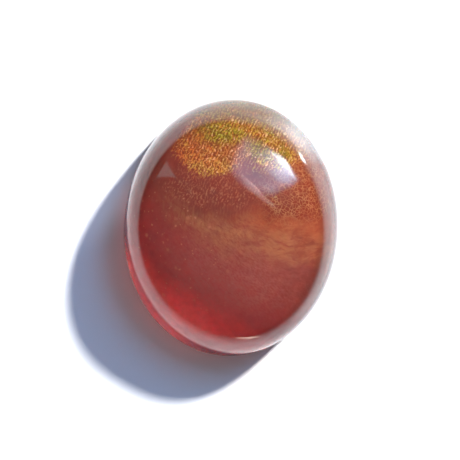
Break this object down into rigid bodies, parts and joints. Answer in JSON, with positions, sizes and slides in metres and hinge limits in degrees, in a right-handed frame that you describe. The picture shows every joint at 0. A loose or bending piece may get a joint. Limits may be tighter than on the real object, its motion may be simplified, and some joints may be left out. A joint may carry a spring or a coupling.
{
  "type": "fire agate cabochon",
  "caption": "Polished oval fire agate cabochon with a high smooth dome and a flat back to rest on.",
  "frame": {"origin": "middle of the flat back, on the surface that the stone rests on", "axes": "+Z up through the dome's summit, +Y along the oval's long axis towards the end with the fire, +X across the oval to the right when seen from above with +Y up"},
  "size_m": [0.015, 0.018, 0.0064],
  "materials": {
    "polished_agate": "glassy polish over translucent red-brown chalcedony, with a granular orange, gold and green fire at one end and a fine net and haze below it"
  },
  "bodies": {
    "root": {"stone": "polished_agate"}
  },
  "joints": []
}
